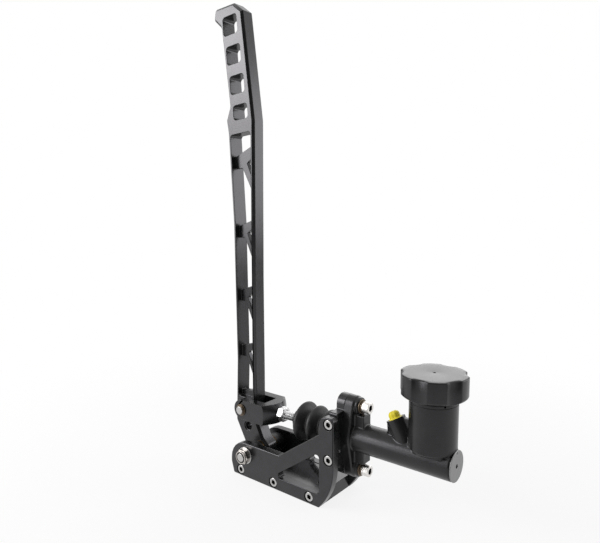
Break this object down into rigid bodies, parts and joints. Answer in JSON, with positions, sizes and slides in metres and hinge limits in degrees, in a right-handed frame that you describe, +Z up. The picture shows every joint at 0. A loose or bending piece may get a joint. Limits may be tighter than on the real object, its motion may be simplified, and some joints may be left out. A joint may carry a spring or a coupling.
{
  "type": "parking brake lever",
  "caption": "Upright hydraulic parking brake lever on a bolt-down base; a clevis and push rod work a master cylinder with its own fluid bowl.",
  "frame": {"origin": "centre of the four mounting holes, on the underside of the base", "axes": "+Z up along the lever, +X from the lever towards the master cylinder, +Y across the base"},
  "size_m": [0.263, 0.0711, 0.4565],
  "materials": {
    "black_anodised": "satin black anodised",
    "black_casting": "satin black coating",
    "stainless": "bright stainless",
    "bright_zinc": "bright zinc plate",
    "bare_aluminium": "machined",
    "bronze": "plain bearing bronze",
    "rubber": "matt black rubber",
    "yellow_plastic": "soft plastic"
  },
  "bodies": {
    "base": {"left_side_plate": "black_anodised", "right_side_plate": "black_anodised", "floor_plate": "black_anodised", "cylinder_bracket": "black_anodised", "floor_screws": "stainless", "bracket_screws": "stainless", "bracket_dowels": "stainless", "pivot_bolt": "stainless", "pivot_nut": "stainless", "pivot_washers": "stainless", "pivot_sleeve": "stainless", "pivot_spacers": "black_anodised", "dust_boot": "rubber", "cylinder_body": "black_casting", "flange_bolts": "stainless", "flange_washers": "stainless", "end_plug": "bare_aluminium", "circlip": "stainless", "stop_washer": "stainless", "return_spring": "stainless", "valve_stem": "stainless", "valve_seal": "rubber"},
    "lever": {"lever": "black_anodised", "lever_bushes": "bronze"},
    "clevis": {"clevis": "black_anodised", "clevis_pin": "stainless", "clevis_washers": "stainless", "clevis_clips": "stainless", "jam_nut": "bright_zinc", "push_rod": "bright_zinc"},
    "piston": {"piston": "bare_aluminium", "primary_seal": "rubber", "secondary_seal": "rubber", "spring_seat": "stainless"},
    "cap_seal": {"cap_diaphragm": "rubber"},
    "cap": {"reservoir_cap": "black_casting"},
    "plug": {"port_plug": "yellow_plastic"}
  },
  "joints": [
    {"name": "lever_pull", "type": "hinge", "parent": "base", "child": "lever", "pos_m": [-0.048, 0, 0.0234], "axis": [0, 1, 0], "range_deg": [0, 20], "stiffness_Nm_per_rad": 1.7, "springref_deg": -20.05, "deforming": ["dust_boot"]},
    {"name": "clevis_swing", "type": "hinge", "parent": "lever", "child": "clevis", "pos_m": [-0.064, 0, 0.0625], "axis": [0, 1, 0], "range_deg": [-18.6, 0]},
    {"name": "piston_stroke", "type": "slide", "parent": "base", "child": "piston", "axis": [1, 0, 0], "range_m": [0, 0.0146], "deforming": ["return_spring"]},
    {"name": "cap_turn", "type": "hinge", "parent": "cap_seal", "child": "cap", "pos_m": [0.1344, 0, 0.12], "axis": [0, 0, 1], "range_deg": [0, 360]},
    {"name": "cap_lift", "type": "slide", "parent": "base", "child": "cap_seal", "axis": [0, 0, 1], "range_m": [0, 0.0091]},
    {"name": "plug_pull", "type": "slide", "parent": "base", "child": "plug", "axis": [-0.4848, 0, 0.8746], "range_m": [0, 0.02]}
  ],
  "couplings": [
    {"joint": "clevis_swing", "follows": "lever_pull", "ratio": -0.911},
    {"joint": "piston_stroke", "follows": "lever_pull", "m_per_rad": 0.04108},
    {"joint": "cap_lift", "follows": "cap_turn", "m_per_rad": 0.0014324}
  ]
}
